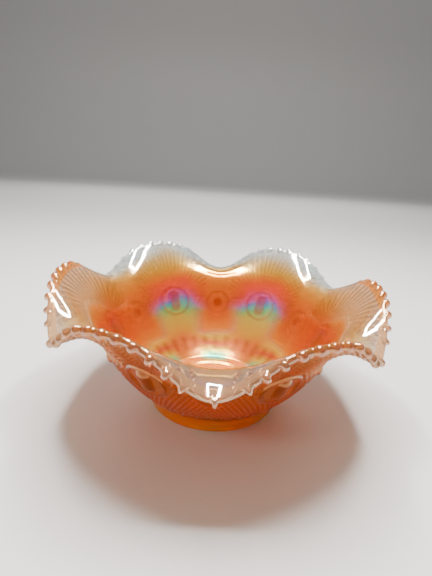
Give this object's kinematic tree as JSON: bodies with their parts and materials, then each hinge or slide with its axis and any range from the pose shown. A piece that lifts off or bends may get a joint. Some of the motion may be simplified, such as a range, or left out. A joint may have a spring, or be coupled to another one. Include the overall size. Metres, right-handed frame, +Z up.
{
  "type": "ruffled glass bowl",
  "caption": "Footed carnival glass bowl with a wide ruffled rim, beads along each ruffle, fans of fine ribs and round moulded medallions on the outside.",
  "frame": {"origin": "centre of the foot, on the surface the bowl stands on", "axes": "+Z up out of the bowl's mouth, +X towards the crest of one ruffle, -Y towards a valley between two ruffles"},
  "size_m": [0.2116, 0.2138, 0.0896],
  "materials": {
    "marigold_glass": "clear glass under a strong orange lustre film, fire polished",
    "straw_glass": "clear glass under a thin pale gold lustre film, fire polished",
    "clear_glass": "clear glass with the faintest lustre, fire polished"
  },
  "bodies": {
    "root": {"foot_ring": "marigold_glass", "base_disc": "marigold_glass", "floor_ring": "marigold_glass", "heel_band": "marigold_glass", "lower_wall": "marigold_glass", "ruffled_rim": "straw_glass", "rim_beads": "clear_glass", "rim_pearls": "clear_glass", "eye_bosses": "marigold_glass", "eye_rings": "marigold_glass", "fan_ribs": "straw_glass", "valley_buttons": "marigold_glass", "valley_rings": "marigold_glass"}
  },
  "joints": []
}
